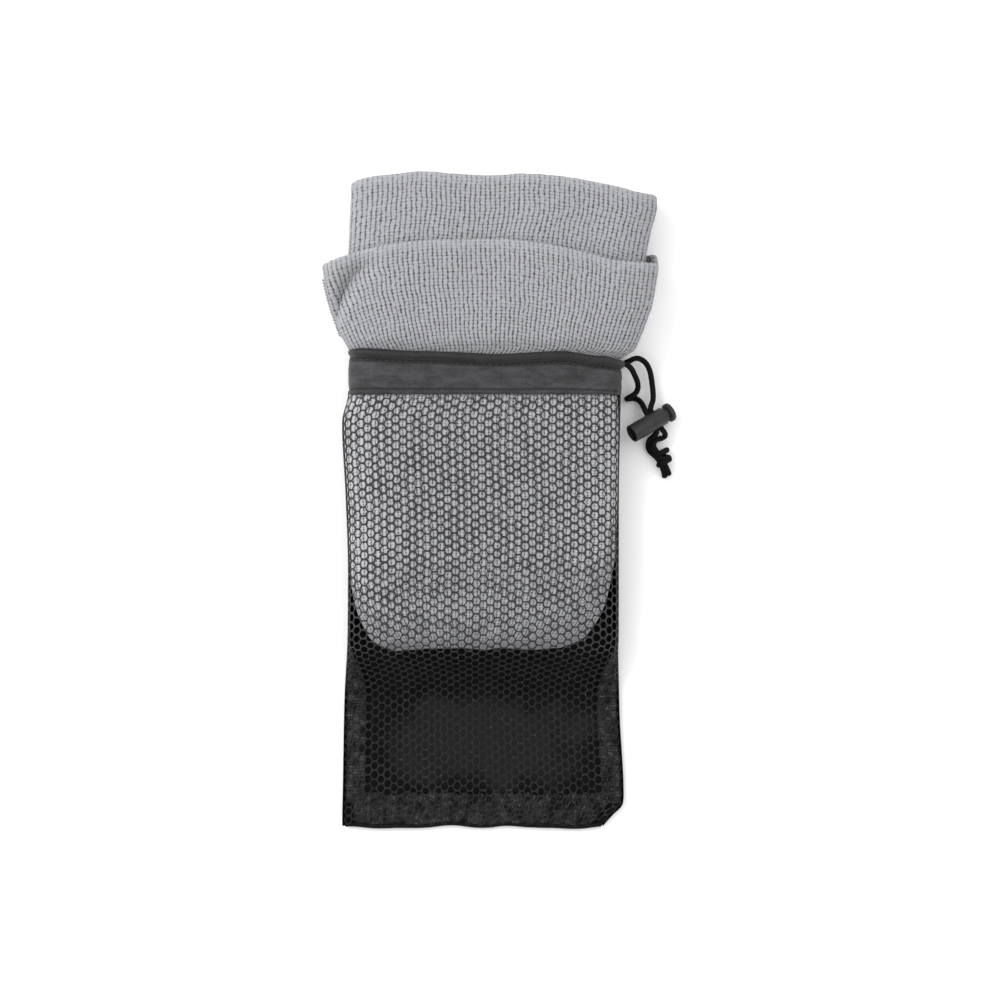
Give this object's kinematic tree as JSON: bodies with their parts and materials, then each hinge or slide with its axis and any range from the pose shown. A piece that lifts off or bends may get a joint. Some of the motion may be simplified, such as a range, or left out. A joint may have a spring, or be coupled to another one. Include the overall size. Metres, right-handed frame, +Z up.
{
  "type": "quick dry towel",
  "caption": "Folded microfibre travel towel half tucked into a flat mesh drawstring pouch, with a cord lock and a knotted drawcord.",
  "frame": {"origin": "centre of the resting footprint of the towel and pouch, on the surface they lie on", "axes": "+Y along the pouch from its foot to the towel's folded end, +X towards the side where the drawcord leaves the casing, +Z up through the mesh face"},
  "size_m": [0.1777, 0.3265, 0.034],
  "materials": {
    "towel_pile": "matt grey pearl-knit microfibre with fine ribs",
    "mesh": "black hexagonal warp-knit mesh, slight sheen on the threads",
    "taffeta": "black taffeta with a soft sheen",
    "casing_satin": "dark grey satin with a fine crosswise slub",
    "sewing_thread": "dark polyester sewing thread",
    "drawcord": "black braided polyester cord",
    "lock_plastic": "black moulded plastic with a fine satin texture",
    "spring_steel": "bright drawn spring wire"
  },
  "bodies": {
    "pouch": {"mesh_front_panel": "mesh", "back_panel": "taffeta", "seam_allowance_left": "taffeta", "seam_allowance_right": "taffeta", "seam_allowance_foot": "taffeta", "casing_front": "casing_satin", "casing_back": "casing_satin", "casing_thread_front": "sewing_thread", "casing_thread_back": "sewing_thread", "channel_thread_front": "sewing_thread", "channel_thread_back": "sewing_thread", "drawcord_in_channel": "drawcord", "drawcord_strand_upper": "drawcord", "drawcord_strand_lower": "drawcord", "drawcord_tail_upper": "drawcord", "drawcord_tail_lower": "drawcord", "cord_knot": "drawcord"},
    "towel": {"towel": "towel_pile", "towel_hem_thread": "towel_pile"},
    "cord_lock": {"lock_barrel": "lock_plastic", "lock_spring": "spring_steel"},
    "plunger": {"lock_plunger": "lock_plastic"}
  },
  "joints": [
    {"name": "towel_pull", "type": "slide", "parent": "pouch", "child": "towel", "axis": [0, 1, 0], "range_m": [0, 0.16]},
    {"name": "lock_slide", "type": "slide", "parent": "pouch", "child": "cord_lock", "axis": [0, 1, 0], "range_m": [0, 0.018], "deforming": ["drawcord_strand_upper", "drawcord_strand_lower", "drawcord_tail_upper", "drawcord_tail_lower"]},
    {"name": "plunger_press", "type": "slide", "parent": "cord_lock", "child": "plunger", "axis": [-0.803, -0.4636, 0.3746], "range_m": [0, 0.0019], "stiffness_N_per_m": 1500, "springref_m": -0.004, "deforming": ["lock_spring"]}
  ]
}
